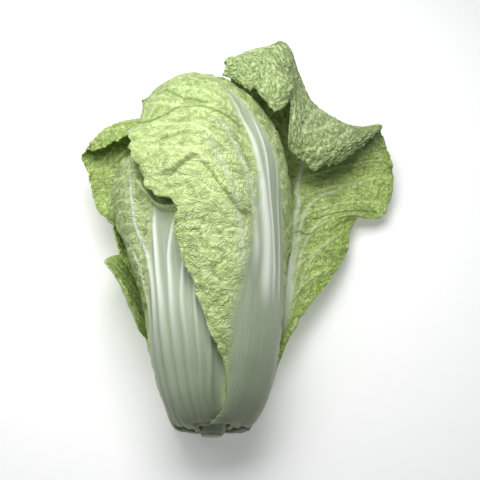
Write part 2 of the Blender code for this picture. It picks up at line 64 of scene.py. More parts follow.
# How the head lies: base down, top leaning to the left.
TILT = math.radians(4.6)
LEAN = -14.0
HEAD_LENGTH = 300.0
AXIS_SIDE = 4.0
AXIS_HEIGHT = 42.7
ORIGIN = (25.4, 168.1)  # the middle of the footprint
OFF_FLOOR = 2.0  # loose leaves hang this far above the surface, and the head stands on it

SHOULDER = 215.0  # where the head is widest
CROWN = 60.0  # leaves close over the top within this distance of its middle
# The butt is drawn in: heights near the cut are scaled by these shares.
DRAWN_IN = ((5, 0.38), (12, 0.53), (26, 0.8), (42, 0.95), (62, 1), (80, 1))
LAYER_GAP = 1.8  # air between one leaf and the next
BLADE = 1.3  # thickness of the green blade
SWELL_SIZE = 24.0  # of the large swellings of a blade
EDGE_WAVE = 2.5  # how far the edges run in and out
EDGE_LENGTH = 17.0  # from wave to wave
EDGE_LIFT = 1.5  # how far they stand off
STANDS_AWAY = 24.0  # leaves this far off the head carry no others
CLOSE = 12.0  # loose leaves nearer to the head than this are pushed clear of it
THIN = 0.3  # least thickness of an edge that meets the surface
BLISTER_SIZE = 5.5  # of the bumps between the smallest veins
BLISTER_HEIGHT = 1.3
LIP_RIM = 2.2  # how high the rolled lip stands
LIP_HOLLOW = 2.5  # and how deep the blade sinks past it


def smooth(pairs, x):
    """A monotone cubic through (station, value) pairs, level past both ends."""
    p, q = np.array(pairs, float).T
    step = np.diff(p)
    slope = np.diff(q) / step
    tangent = np.zeros_like(q)
    tangent[0], tangent[-1] = slope[0], slope[-1]
    product = slope[1:] * slope[:-1]
    rising = product > 0
    tangent[1:-1][rising] = 2 * product[rising] / (slope[1:] + slope[:-1])[rising]
    x = np.clip(x, p[0], p[-1])
    i = np.clip(np.searchsorted(p, x, side="right") - 1, 0, len(step) - 1)
    t = (x - p[i]) / step[i]
    start = (1 + 2 * t) * (1 - t) ** 2 * q[i] + t * (1 - t) ** 2 * step[i] * tangent[i]
    end = t * t * (3 - 2 * t) * q[i + 1] - t * t * (1 - t) * step[i] * tangent[i + 1]
    return start + end


def ease(x):
    """0 below 0, 1 above 1, and a smooth step between."""
    x = np.clip(x, 0, 1)
    return x * x * (3 - 2 * x)


def bell(x):
    """1 at 0, falling off to 0 on both sides."""
    return np.exp(-(x**2))


def lattice(i, j, seed):
    """A repeatable random number from 0 to 1 for each whole-numbered place."""
    n = i.astype(np.int64) * 374761393 + j.astype(np.int64) * 668265263 + seed * 974634777
    n = n & 0xFFFFFFFF
    n = ((n ^ (n >> 13)) * 1274126177) & 0xFFFFFFFF
    return ((n ^ (n >> 16)) & 0xFFFF) / 65535.0


def noise(x, y, seed):
    """Smooth noise from -1 to 1 with features about one unit across."""
    i, j = np.floor(x), np.floor(y)
    s, t = ease(x - i), ease(y - j)
    low = lattice(i, j, seed) * (1 - s) + lattice(i + 1, j, seed) * s
    high = lattice(i, j + 1, seed) * (1 - s) + lattice(i + 1, j + 1, seed) * s
    return 2 * (low * (1 - t) + high * t) - 1


class Chart:
    """Turns places on the head (b, theta, h) into points, and points back into places."""

    def __init__(self):
        y, r = np.array(HEART_OUTLINE, float).T
        chord = np.concatenate([[0], np.cumsum(np.hypot(np.diff(y), np.diff(r)))])
        t = np.linspace(0, chord[-1], 400)
        self.y = smooth(list(zip(chord, y)), t)
        self.r = smooth(list(zip(chord, r)), t)
        self.b = np.concatenate([[0], np.cumsum(np.hypot(np.diff(self.y), np.diff(self.r)))])
        lean = np.maximum(np.arctan2(-np.gradient(self.r), np.gradient(self.y)), 0)
        lean[-1] = math.pi / 2
        lean -= BUTT_LEAN * (1 - ease((self.b - LEAF_FROM) / BUTT_ROUND))
        for _ in range(60):
            lean[1:-1] = (lean[:-2] + 2 * lean[1:-1] + lean[2:]) / 4
        self.lean = lean
        self.length = self.b[-1]

    def point(self, b, theta, h):
        lean = np.interp(b, self.b, self.lean)
        h = h * smooth(DRAWN_IN, b)
        r = np.interp(b, self.b, self.r) + h * np.cos(lean)
        y = np.interp(b, self.b, self.y) + h * np.sin(lean)
        return np.stack([r * np.cos(theta), y, r * np.sin(theta)], -1)

    def place_of(self, points):
        """(b, theta, h) of points off the head: the fibre of the chart that runs through each."""
        x, y, z = np.moveaxis(points, -1, 0)
        r = np.hypot(x, z)
        dy = y[..., None] - self.y
        dr = r[..., None] - self.r
        side = dy * np.cos(self.lean) - dr * np.sin(self.lean)
        i = np.clip((side > 0).sum(-1) - 1, 0, len(self.b) - 2)
        here = np.take_along_axis(side, i[..., None], -1)[..., 0]
        after = np.take_along_axis(side, i[..., None] + 1, -1)[..., 0]
        part = np.clip(here / np.where(here == after, 1, here - after), 0, 1)
        b = self.b[i] + part * (self.b[i + 1] - self.b[i])
        lean = np.interp(b, self.b, self.lean)
        r0, y0 = np.interp(b, self.b, self.r), np.interp(b, self.b, self.y)
        h = (r - r0) * np.cos(lean) + (y - y0) * np.sin(lean)
        return b, np.arctan2(z, x), h / smooth(DRAWN_IN, b)


CHART = Chart()


def lay_down(points):
    """Puts points of the upright chart where they lie, in millimetres from the cut."""
    x, y, z = np.moveaxis(points, -1, 0)
    x = x + AXIS_SIDE + LEAN * (np.clip(y, 0, None) / HEAD_LENGTH) ** 2
    c, s = math.cos(TILT), math.sin(TILT)
    return np.stack([x, y * c - z * s, z * c + y * s + AXIS_HEIGHT], -1)


def stand_up(points):
    """The way back: points where they lie, as points of the upright chart."""
    x, y, z = np.moveaxis(points, -1, 0)
    z = z - AXIS_HEIGHT
    c, s = math.cos(TILT), math.sin(TILT)
    y, z = y * c + z * s, z * c - y * s
    return np.stack([x - AXIS_SIDE - LEAN * (np.clip(y, 0, None) / HEAD_LENGTH) ** 2, y, z], -1)


class Pile:
    """How high the leaves laid so far reach above the heart, on a grid over the chart."""

    STEP = 4.0  # mm along the head
    ROUND = 120  # cells round it

    def __init__(self):
        self.rows = int(CHART.length / self.STEP) + 2
        self.h = np.zeros((self.rows, self.ROUND))

    def cells(self, b, theta):
        around = np.mod(theta, TURN) / TURN * self.ROUND
        return np.clip(b / self.STEP, 0, self.rows - 1.001), around

    def lay(self, b, theta, h):
        i, j = self.cells(b, theta)
        cell = np.round(i).astype(int), np.round(j).astype(int) % self.ROUND
        np.maximum.at(self.h, cell, h)

    def cover(self):
        """A smooth sheet drawn over everything laid so far."""
        e = np.pad(self.h, ((8, 0), (0, 0)), mode="edge")
        # past the top the sheet goes on down the far side
        e = np.concatenate([e, np.roll(self.h[:-9:-1], self.ROUND // 2, 1)])
        for _ in range(3):
            around = np.maximum(np.roll(e, 1, 1), np.roll(e, -1, 1))
            along = np.maximum(np.roll(e, 1, 0), np.roll(e, -1, 0))
            e = np.maximum(e, np.maximum(around, along))
        for _ in range(6):
            e = (np.roll(e, 1, 0) + 2 * e + np.roll(e, -1, 0)) / 4
            e = (np.roll(e, 1, 1) + 2 * e + np.roll(e, -1, 1)) / 4
        e = e[8:-8]
        # near the top the cells are narrow, so they are evened out all round it
        for k in range(6):
            level = e[-1 - k].mean()
            e[-1 - k] = level + (e[-1 - k] - level) * k / 6
        return e

    def read(self, sheet, b, theta):
        i, j = self.cells(b, theta)
        i0, j0 = i.astype(int), j.astype(int) % self.ROUND
        s, t = i - i0, j - np.floor(j)
        j1 = (j0 + 1) % self.ROUND
        low = sheet[i0, j0] * (1 - t) + sheet[i0, j1] * t
        high = sheet[i0 + 1, j0] * (1 - t) + sheet[i0 + 1, j1] * t
        return low * (1 - s) + high * s


# Stations along a leaf from its base, each with a value in mm.
STALK = ((0, 14), (30, 24), (80, 29), (140, 27), (190, 18), (240, 10), (300, 5))
BODY = ((0, 0), (12, 3.0), (35, 4.6), (70, 4.6), (120, 3.2), (180, 1.2), (240, 0.4), (300, 0.1))
PITCH = ((0, 5.6), (60, 8.5), (120, 10), (170, 13), (230, 20), (300, 28))
RISE = ((0, 0.3), (20, 2.0), (90, 2.4), (150, 2.0), (210, 1.4), (280, 0.7))
WIDTH = ((0, 17), (30, 27), (80, 38), (130, 58), (180, 78), (230, 72), (280, 52), (330, 44))
NONE = ((0, 0), (300, 0))


def within(line, a, fade):
    """1 between the ends of a line across the leaf, fading to 0 past them."""
    return ease((a - line[0][0]) / fade + 1) * ease((line[-1][0] - a) / fade + 1)


@dataclass
class Fold:
    """A crease across a leaf: the blade steps up past it and settles back further on."""

    line: tuple  # where it runs: (a, t) points in mm
    height: float
    past: int  # 1 if the tip side is the high one, -1 if the base side is
    reach: float  # how far on the step has faded

    STEP = 4.0
    FADE = 14.0

    def height_at(self, t, a):
        beyond = self.past * (t - smooth(self.line, a))
        fading = np.exp(-np.maximum(beyond, 0) / self.reach)
        return self.height * within(self.line, a, self.FADE) * ease(beyond / self.STEP + 0.5) * fading


@dataclass
class Leaf:
    name: str
    angle: float  # where its midrib runs, round the head
    length: float = 350
    colour: str = "head_leaf"
    left: tuple = WIDTH
    right: tuple = WIDTH
    body: tuple = BODY  # how much thicker its stalk is
    ribs: int = 1  # on each side of the midrib
    spread: float = 0.42  # width of a rib, as a share of the pitch
    flare_left: tuple = NONE  # how far the edges stand away
    flare_right: tuple = NONE
    # Where the edge over the top runs, from left to right: share of the width, and how far short
    # of the top's middle and how far aside of it, in mm. Without it the leaf ends on the side.
    over: tuple = ((-1, 12, -46), (-0.5, -6, -26), (0, -14, 0), (0.5, -6, 26), (1, 12, 46))
    ends: tuple = ((-1, 0.84), (-0.5, 0.97), (0, 1), (0.5, 0.97), (1, 0.84))  # share of the length
    waves: float = 3.0
    folds: tuple = ()
    seed: int = 1
    rows: int = 19
    cols: int = 4  # in the blade on each side
    net: tuple = ()  # points a loose leaf hangs through, row by row from its base
    midrib: float = 2.0  # the column of the net its midrib follows
    cuts: tuple = ()  # notches in the far edge: (column, depth as a share of the length, width)

    def bulk(self, t, a):
        """How much thicker the stalk is than the blade."""
        return smooth(self.body, t) * np.exp(-np.abs(a / smooth(STALK, t)) ** 3)

    def ridges(self, t, a):
        pitch = smooth(PITCH, t)
        ribs = np.zeros_like(a)
        for i in range(-self.ribs, self.ribs + 1):
            ribs += bell((a - i * pitch) / (self.spread * pitch))
        return smooth(RISE, t) * ribs

    def thickness(self, t, a):
        return BLADE + self.bulk(t, a) + self.ridges(t, a)

    def flare(self, t, share):
        return smooth(self.flare_left, t) * ease(-share) + smooth(self.flare_right, t) * ease(share)

    def waving(self, t, a, to_edge):
        """How far the blade swells off what lies under it."""
        stalk = smooth(STALK, t)
        blade = ease((np.abs(a) - 0.6 * stalk) / 25) * ease((t - 60) / 80)
        swell = 0.5 + 0.5 * noise(a / SWELL_SIZE + 7, t / SWELL_SIZE, self.seed)
        swell = blade * (self.waves * swell + EDGE_LIFT * ease(1 - to_edge / 12))
        for fold in self.folds:
            swell += fold.height_at(t, a)
        return swell

    def sides(self, v):
        """For each row: its distance from the base, and how far it reaches to the left and right."""
        t = LEAF_FROM + v * (self.length - LEAF_FROM)
        edge = EDGE_WAVE * ease((t - 90) / 60)
        left = smooth(self.left, t) + edge * noise(t / EDGE_LENGTH, t * 0 + 3, self.seed)
        right = smooth(self.right, t) + edge * noise(t / EDGE_LENGTH, t * 0 + 9, self.seed)
        return t, left, right

    def places(self, v, t, a, left, right):
        """t from the base, a across it, its share of the half-width, and how far the edge is."""
        share = np.where(a < 0, a / left, a / right)
        to_edge = (1 - np.abs(share)) * np.where(a < 0, left, right)
        if not self.over:
            t = t * (1 - (1 - smooth(self.ends, share)) * ease((v - 0.35) / 0.65))
        return t + 0 * a, a, share, np.minimum(to_edge, self.length - t)

    def grid(self):
        """The places on the flat leaf that the facets of the solid have."""
        v = np.linspace(0, 1, self.rows)[:, None]
        k = self.ribs
        t, left, right = self.sides(v)
        middle = smooth(PITCH, t) * np.arange(-k - 0.5, k + 0.6, 0.5)
        across = np.linspace(0, 1, self.cols + 1)[1:]
        inset = 0.8 / (k + 1)
        first = np.minimum(middle[:, :1], -inset * left)
        first = np.maximum(first, -0.8 * left)
        last = np.clip(middle[:, -1:], inset * right, 0.8 * right)
        squeeze = np.where(middle < 0, first / middle[:, :1], last / middle[:, -1:])
        middle = middle * squeeze
        a = np.concatenate(
            [(first + (-left - first) * across)[:, ::-1], middle, last + (right - last) * across], 1
        )
        return self.places(v, t, a, left, right)


def drape(cover, leaf, t, a, share):
    """Chart places of points on a flat leaf: straight up the side, then on over the top."""
    b = np.minimum(t[:, :1], SHOULDER)
    rows = (b / Pile.STEP).astype(int)[:, 0]
    girth = np.interp(b, CHART.b, CHART.r) + cover[rows].mean(-1)[:, None] + LAYER_GAP
    surface = CHART.b + cover[int(SHOULDER / Pile.STEP) :].mean() * CHART.lean
    top = surface[-1]
    short = np.maximum(top - t, CROWN if leaf.over else 0)
    short, aside = short * np.cos(a / girth), short * np.sin(a / girth)
    if leaf.over:
        shares, shorts, asides = zip(*leaf.over)
        gone = np.clip((t - top + CROWN) / (leaf.length - top + CROWN), 0, 1)
        short = short * (1 - gone) + gone * smooth(list(zip(shares, shorts)), share)
        aside = aside * (1 - gone) + gone * smooth(list(zip(shares, asides)), share)
    theta = math.radians(leaf.angle) - np.arctan2(aside, short)
    return np.interp(top - np.hypot(short, aside), surface, CHART.b), theta


def head_leaf(pile, cover, leaf):
    """The outer face of the solid of a leaf laid on the pile, as places on the chart."""
    t, a, share, to_edge = leaf.grid()
    b, theta = drape(cover, leaf, t, a, share)
    inner = pile.read(cover, b, theta) + LAYER_GAP + leaf.waving(t, a, to_edge) + leaf.flare(t, share)
    return b, theta, inner + leaf.thickness(t, a)


def spline(count, x):
    """Catmull-Rom weights of count evenly spaced stations at each place x."""
    i = np.clip(x.astype(int), 0, count - 2)
    t = x - i
    weights = np.zeros((len(x), count + 2))
    basis = (
        (-t + 2 * t**2 - t**3) / 2,
        (2 - 5 * t**2 + 3 * t**3) / 2,
        (t + 4 * t**2 - 3 * t**3) / 2,
        (-(t**2) + t**3) / 2,
    )
    for k, part in enumerate(basis):
        weights[np.arange(len(x)), i + k] += part
    # past the ends the stations go straight on
    first, last = weights[:, :1], weights[:, -1:]
    inside = weights[:, 1:-1].copy()
    inside[:, :1] += 2 * first
    inside[:, 1:2] -= first
    inside[:, -1:] += 2 * last
    inside[:, -2:-1] -= last
    return inside


def normals(points):
    n = np.cross(np.gradient(points, axis=0), np.gradient(points, axis=1))
    n /= np.linalg.norm(n, axis=-1, keepdims=True) + 1e-9
    for _ in range(2):
        n[1:-1] = n[:-2] + 2 * n[1:-1] + n[2:]
        n[:, 1:-1] = n[:, :-2] + 2 * n[:, 1:-1] + n[:, 2:]
        n /= np.linalg.norm(n, axis=-1, keepdims=True) + 1e-9
    return n


def clear_of_head(pile, cover, points):
    """Moves points out to where they clear the head, and leaves the rest where they are."""
    b, theta, h = CHART.place_of(stand_up(points))
    least = pile.read(cover, b, theta) + LAYER_GAP
    over = h - least
    soft = 2.0
    lifted = least + (over + np.sqrt(over**2 + soft**2)) / 2
    return np.where((over < CLOSE)[..., None], lay_down(CHART.point(b, theta, lifted)), points)


def hang(pile, cover, leaf, u, v, fine=False):
    """The inner face of a loose leaf through its net, clear of the head.

    u runs from its base to its tip and v from its left edge to its right one, 0 on the midrib.
    With the points come their t and a, and how far the edge is. A fine leaf has small ragged edges.
    """
    net = np.array(leaf.net, float)
    middle = leaf.midrib
    ragged = 0.035 * noise(u * 16, np.sign(v) * 5, leaf.seed)
    ragged += fine * 0.012 * noise(u * 60, np.sign(v) * 5, leaf.seed + 1)
    side = np.where(v < 0, middle, net.shape[1] - 1 - middle)
    column = middle + side * v * (0.965 + ease(u * 3) * ragged)
    short = 0.012 * (1 + noise(v * 8, u * 0, leaf.seed))
    short += fine * 0.006 * (1 + noise(v * 30, u * 0, leaf.seed))
    for place, depth, width in leaf.cuts:
        short += depth * bell((column - place) / width)
    row = u * (1 - short * ease(u * 4 - 3)) * (net.shape[0] - 1)
    along, across = spline(net.shape[0], row.ravel()), spline(net.shape[1], column.ravel())
    inner = np.einsum("pi,ijk,pj->pk", along, net, across).reshape(*u.shape, 3)
    step = np.linalg.norm(np.diff(inner, axis=1), axis=-1)
    a = np.concatenate([np.zeros((len(u), 1)), np.cumsum(step, 1)], 1)
    to_edge = np.minimum(a, a[:, -1:] - a)
    if fine:
        to_edge = np.minimum(to_edge, (1 - u) * leaf.length)
    a = a - np.take_along_axis(a, np.abs(v).argmin(1)[:, None], 1)
    t = u * leaf.length
    swell = noise(a / SWELL_SIZE + 7, t / SWELL_SIZE, leaf.seed)
    swell = swell * ease((np.abs(a) - 10) / 25) * ease((t - 60) / 80)
    ruffle = noise(t / 13, a / 60, leaf.seed + 1) * ease(1 - to_edge / 22) * ease((t - 60) / 60)
    inner = inner + normals(inner) * (leaf.waves * (0.6 * swell + ruffle))[..., None]
    return clear_of_head(pile, cover, inner), t, a, to_edge


def loose_leaf(pile, cover, leaf):
    """The outer face of the solid of a leaf that hangs through its net."""
    u, v = np.meshgrid(np.linspace(0, 1, leaf.rows), np.linspace(-1, 1, leaf.cols), indexing="ij")
    inner, t, a, _ = hang(pile, cover, leaf, u, v)
    outer = inner + normals(inner) * leaf.thickness(t, a)[..., None]
    outer[..., 2] = np.maximum(outer[..., 2], OFF_FLOOR)
    return outer


@dataclass
class Rib:
    """A raised vein along the leaf, through (t, a) places in mm."""

    line: tuple
    width: float  # half of it, at its widest
    height: float
    white: float = 1.0
    fade: float = 25.0  # how long it takes to die away at its far end

    def at(self, t, a):
        """1 on the crest of the rib, 0 off it."""
        place = smooth(self.line, t)
        slope = (smooth(self.line, t + 1) - smooth(self.line, t - 1)) / 2
        end = self.line[-1][0]
        there = ease((end - t) / self.fade) * ease((t - self.line[0][0]) / 40 + 1)
        width = self.width * (0.45 + 0.55 * ease((end - t) / 120))
        off = (a - place) / np.hypot(1, slope) / width
        return bell(off) * there


class SharpFold(Fold):
    """The same crease as the solid has, where a fine mesh can follow it."""

    STEP = 2.4


@dataclass
class Look:
    """What the fine leaf has besides its form."""

    rows: int
    cols: int
    ribs: tuple = ()
    # The white part's left and right border along the leaf, and how softly each ends.
    white_left: tuple = ((0, -22), (60, -26), (130, -22), (200, -8), (250, -2), (320, 0))
    white_right: tuple = ((0, 22), (60, 26), (130, 22), (200, 8), (250, 2), (320, 0))
    white_soft: float = 7.0
    spacing: float = 24.0  # from one side vein to the next, along the leaf
    slope: tuple = ((0, 0.9), (300, 0.9))  # how far a side vein climbs for each mm that it goes out
    vein: float = 0.7  # height of the side veins
    vein_width: tuple = (0.9, 1.3)  # far out, and how much more close to the white part
    cell: float = 7.0  # size of the meshes between the small veins
    cell_height: float = 0.35
    pucker: tuple = (9.0, 16.0)  # size of the puckers, along the leaf and across it
    pucker_height: float = 1.0
    crease: float = 0.8  # how dark the painted shade in the valleys between the puckers is
    green: tuple = (0.3, 0.6)  # how green the blade is at its middle and at its edge
    green_left: float = 0.0  # how much greener it is on the left
    green_along: tuple = NONE  # and along its length
    crinkle: float = 0.6  # how strong the small wrinkles are
    blister: tuple = NONE  # along the leaf, how strongly it is blistered
    pale: tuple = NONE  # and how far it is paled
    shade_line_width: float = 1.1  # of the painted shadow lines along the folds
    folds: tuple = ()
    lines: tuple = ()  # where the painted shadow lines along the folds run: (a, t) places
    lip: tuple = ()  # a rolled rim with a hollow past it, with a painted highlight on the rim and painted shade in the hollow: (a, t) places
    frill: float = 1.0  # how far the very edge waves


def cells(x, y, seed):
    """How far a place is from the border of its cell, for random cells about one unit across."""
    i, j = np.floor(x), np.floor(y)
    near = np.full(x.shape, 9.0)
    after = near.copy()
    for di in (-1, 0, 1):
        for dj in (-1, 0, 1):
            p, q = i + di, j + dj
            across = p + 0.1 + 0.8 * lattice(p, q, seed) - x
            along = q + 0.1 + 0.8 * lattice(p, q, seed + 1) - y
            d = np.hypot(across, along)
            after = np.minimum(after, np.maximum(near, d))
            near = np.minimum(near, d)
    return after - near


def puckered(t, a, size, seed):
    """Swellings with sharp valleys between them: their height, and 1 in the valleys."""
    along, across = size
    t = t + 0.35 * along * noise(t / 14, a / 14, seed + 5)
    a = a + 0.35 * across * noise(t / 14 + 9, a / 14, seed + 6)
    big = np.abs(noise(t / along, a / across, seed))
    small = np.abs(noise(t / along * 2.1, a / across * 2.1 + 4, seed + 1))
    swell = np.minimum(big * 2.2, 1) ** 0.6 + 0.4 * np.minimum(small * 2.2, 1) ** 0.6
    valley = bell(big / 0.09) + 0.55 * bell(small / 0.11)
    return swell / 1.4, np.minimum(valley, 1)


def rib_relief(look, t, a):
    """How high the ribs stand, and how white they are."""
    height, white = np.zeros_like(a), np.zeros_like(a)
    for rib in look.ribs:
        on = rib.at(t, a)
        height = np.maximum(height, on * rib.height)
        white = np.maximum(white, on * rib.white)
    return height, np.minimum(white, 1) * (0.3 + 0.7 * ease((t - 50) / 90))


def side_veins(look, seed, t, a, out):
    """1 along the veins that climb out from the white part."""
    bend = 3.0 * noise(t / 22, a / 22, seed + 2)
    slope = smooth(look.slope, t)
    p = (t - slope * out + 0.004 * out**2 + bend) / look.spacing + np.where(a < 0, 0.0, 0.45)
    off = np.abs(p - np.round(p)) * look.spacing / np.hypot(1, slope)
    width = look.vein_width[0] + look.vein_width[1] * np.exp(-out / 30)
    return bell(off / width)


def roll_lip(lip, t, a, sheet, masks):
    """Raises a rim along the lip and sinks a hollow past it, with a painted highlight on the rim and
    painted shade in the hollow.
    """
    off = t - smooth(lip, a)
    ends = within(lip, a, 6)
    rim = ends * bell((off - 1) / 1.8)
    hollow = ends * ease(off / 3 - 0.5) * ease(3 - off / 9)
    sheet += LIP_RIM * rim - LIP_HOLLOW * hollow
    # painted shade in the hollow, painted highlight on the rim
    masks["white"] *= 1 - np.maximum(hollow, rim)
    masks["green"] += 0.9 * hollow - 0.6 * rim
    masks["crease"] = np.maximum(masks["crease"] * (1 - rim), 0.75 * hollow)


def detail(look, leaf, t, a, to_edge):
    """The fine relief and the masks of a leaf at places on it."""
    seed = leaf.seed
    left, right = smooth(look.white_left, t), smooth(look.white_right, t)
    wander = 1.5 * noise(t / 9, a * 0 + 2, seed)
    white = ease((np.minimum(a - left, right - a) + wander) / look.white_soft + 0.5)
    blade = 1 - white
    ribs, streak = rib_relief(look, t, a)
    # side veins climb out from the white part, and finer ones mesh between them
    out = np.maximum(np.maximum(left - a, a - right), 0)
    veins = side_veins(look, seed, t, a, out) * blade * ease(to_edge / 14) * ease((t - 30) / 40)
    wt = t + 1.6 * noise(t / 6, a / 6, seed + 3)
    wa = a + 1.6 * noise(t / 6 + 3, a / 6, seed + 4)
    mesh = bell(cells(wt / look.cell, wa / look.cell, seed) / 0.16) * blade
    swell, valley = puckered(t, a, look.pucker, seed + 7)
    on_blade = blade * ease((t - 25) / 30)
    height = ribs + look.vein * veins + look.cell_height * mesh
    sheet = look.pucker_height * swell * on_blade * (1 - 0.6 * veins) * (1 - 0.8 * streak)
    blister = smooth(look.blister, t) * blade * (1 - 0.6 * streak)
    seam = cells(wt / BLISTER_SIZE, wa / BLISTER_SIZE, seed + 11)
    sheet += BLISTER_HEIGHT * blister * (ease(seam / 0.5) - 0.6)
    sheet += look.frill * ease(1 - to_edge / 9) * noise(t / 5 + 2, a / 40, seed + 8) * blade
    masks = {
        "white": np.maximum(white, streak),
        "vein": np.maximum(veins, 0.55 * mesh),
        # painted shade in the valleys between the puckers
        "crease": look.crease * valley * on_blade * (1 - veins) * (1 - streak),
        "green": look.green[0] + (look.green[1] - look.green[0]) * ease(1 - to_edge / 35)
        + look.green_left * ease((-a - 30) / 14)
        + smooth(look.green_along, t),
        "crinkle": look.crinkle * on_blade * (1 - 0.7 * streak),
        "rib": streak,
        # painted shade in the sunken seams between the blisters
        "seam": 0.6 * blister * bell(seam / 0.14),
        "pale": smooth(look.pale, t) * blade,
    }
    # painted shadow lines where the blade steps over a fold
    for line in look.lines:
        dark = within(line, a, 8) * bell((t - smooth(line, a)) / look.shade_line_width)
        masks["crease"] = np.maximum(masks["crease"], dark)
    if look.lip:
        roll_lip(look.lip, t, a, sheet, masks)
    return height, sheet, masks


def fine_grid(leaf, look):
    """Evenly spaced places on the flat leaf, with the solid's outline and a finer ragged edge."""
    v = np.linspace(0, 1, look.rows)[:, None]
    t, left, right = leaf.sides(v)
    small = 1.4 * ease((t - 40) / 30)
    left = left + small * noise(t / 4.5, t * 0 + 13, leaf.seed)
    right = right + small * noise(t / 4.5, t * 0 + 19, leaf.seed)
    a = -left + (left + right) * np.linspace(0, 1, look.cols)
    return leaf.places(v, t, a, left, right)


def blade_thickness(leaf, t, a, to_edge):
    """The leaf without its ribs, thinner towards its very edge."""
    return BLADE * (0.45 + 0.55 * ease(to_edge / 4)) + leaf.bulk(t, a)


def fine_head_leaf(pile, cover, leaf, look):
    t, a, share, to_edge = fine_grid(leaf, look)
    b, theta = drape(cover, leaf, t, a, share)
    height, sheet, masks = detail(look, leaf, t, a, to_edge)
    waving = replace(leaf, folds=look.folds or leaf.folds).waving(t, a, to_edge)
    inner = pile.read(cover, b, theta) + LAYER_GAP + waving + sheet + leaf.flare(t, share)
    outer = inner + blade_thickness(leaf, t, a, to_edge) + height
    if not look.ribs:
        outer += leaf.ridges(t, a)
    inner, outer = (lay_down(CHART.point(b, theta, h)) for h in (inner, outer))
    inner[..., 2] = np.maximum(inner[..., 2], THIN)
    outer[..., 2] = np.maximum(outer[..., 2], 0)
    masks["t"], masks["a"] = t, a
    return inner, outer, masks


def fine_loose_leaf(pile, cover, leaf, look):
    span = len(leaf.net[0]) - 1
    middle = leaf.midrib
    column = np.linspace(0, 1, look.cols) * span
    v = np.where(column < middle, column / middle - 1, (column - middle) / (span - middle))
    u, v = np.meshgrid(np.linspace(0, 1, look.rows), v, indexing="ij")
    inner, t, a, to_edge = hang(pile, cover, leaf, u, v, fine=True)
    height, sheet, masks = detail(look, leaf, t, a, to_edge)
    out = normals(inner)
    thick = blade_thickness(leaf, t, a, to_edge)
    outer = inner + out * (thick + sheet + height)[..., None]
    inner = inner + out * (sheet - 0.5 * height)[..., None]
    lowest = np.minimum(inner[..., 2], outer[..., 2])
    lift = np.maximum(OFF_FLOOR - lowest, 0)[..., None] * (0, 0, 1)
    masks["t"], masks["a"] = t, a
    return inner + lift, outer + lift, masks


def fine_solid(name, inner, outer, masks):
    """A closed piece between two faces, whose masks are the same on both."""
    count = outer.shape[0] * outer.shape[1]
    index = np.arange(count).reshape(outer.shape[:2])
    a, b, c, d = index[:-1, :-1], index[:-1, 1:], index[1:, 1:], index[1:, :-1]
    face = np.concatenate([np.stack([a, b, c], -1).reshape(-1, 3), np.stack([a, c, d], -1).reshape(-1, 3)])
    rim = np.concatenate([index[0, :-1], index[:-1, -1], index[-1, :0:-1], index[:0:-1, 0]])
    after = np.roll(rim, -1)
    side = np.concatenate(
        [np.stack([after, rim, rim + count], -1), np.stack([after, rim + count, after + count], -1)]
    )
    faces = np.concatenate([face, face[:, ::-1] + count, side])
    points = np.concatenate([outer.reshape(-1, 3), inner.reshape(-1, 3)])
    points = (points - (*ORIGIN, 0)) * MM
    p, q, r = points[faces[:, 0]], points[faces[:, 1]], points[faces[:, 2]]
    if np.einsum("ij,ij->", p, np.cross(q, r)) < 0:
        faces = faces[:, ::-1]  # they look out
    mesh = bpy.data.meshes.new(name)
    mesh.vertices.add(len(points))
    mesh.vertices.foreach_set("co", points.ravel())
    mesh.loops.add(faces.size)
    mesh.loops.foreach_set("vertex_index", faces.ravel().astype(np.int32))
    mesh.polygons.add(len(faces))
    mesh.polygons.foreach_set("loop_start", np.arange(len(faces), dtype=np.int32) * 3)
    mesh.update(calc_edges=True)
    mesh.validate()
    mesh.shade_smooth()
    for key, values in masks.items():
        layer = mesh.attributes.new(key, "FLOAT", "POINT")
        layer.data.foreach_set("value", np.tile(values.ravel(), 2).astype(np.float32))
    thing = bpy.data.objects.new(name, mesh)
    bpy.context.scene.collection.objects.link(thing)
    return thing


# Materials


class Shader:
    """A Principled material and the nodes that feed it."""

    def __init__(self, name):
        self.material = bpy.data.materials.new(name)
        self.material.use_nodes = True
        self.tree = self.material.node_tree
        self.main = self.tree.nodes["Principled BSDF"]

    def node(self, kind, settings=None, **inputs):
        made = self.tree.nodes.new(kind)
        for key, value in (settings or {}).items():
            setattr(made, key, value)
        for key, value in inputs.items():
            self.feed(made.inputs[key.replace("_", " ")], value)
        return made

    def feed(self, socket, value):
        if isinstance(value, bpy.types.NodeSocket):
            self.tree.links.new(value, socket)
        else:
            socket.default_value = value

    def mask(self, name):
        return self.node("ShaderNodeAttribute", {"attribute_name": name}).outputs["Fac"]

    def mix(self, share, low, high):
        made = self.node("ShaderNodeMix", {"data_type": "RGBA"})
        self.feed(made.inputs[0], share)
        self.feed(made.inputs[6], low)
        self.feed(made.inputs[7], high)
        return made.outputs[2]

    def math(self, operation, *values):
        made = self.node("ShaderNodeMath", {"operation": operation})
        for socket, value in zip(made.inputs, values):
            self.feed(socket, value)
        return made.outputs[0]

    def times(self, first, second):
        return self.math("MULTIPLY", first, second)

    def span(self, value, low, high, to_low=0.0, to_high=1.0):
        made = self.node("ShaderNodeMapRange")
        for socket, x in zip(made.inputs, (value, low, high, to_low, to_high)):
            self.feed(socket, x)
        return made.outputs[0]

    def vector(self, operation, first, second):
        made = self.node("ShaderNodeVectorMath", {"operation": operation})
        self.feed(made.inputs[0], first)
        self.feed(made.inputs[1], second)
        return made.outputs[0]

    def noise(self, scale, detail, rough, vector):
        made = self.node("ShaderNodeTexNoise", Scale=scale, Detail=detail, Roughness=rough, Vector=vector)
        return made.outputs["Fac"]

    def ridges(self, vector):
        """0 along winding lines, rising to about 1 between them."""
        off = self.math("SUBTRACT", self.noise(1.0, 1.0, 0.5, vector), 0.5)
        return self.times(self.math("ABSOLUTE", off), 4.0)


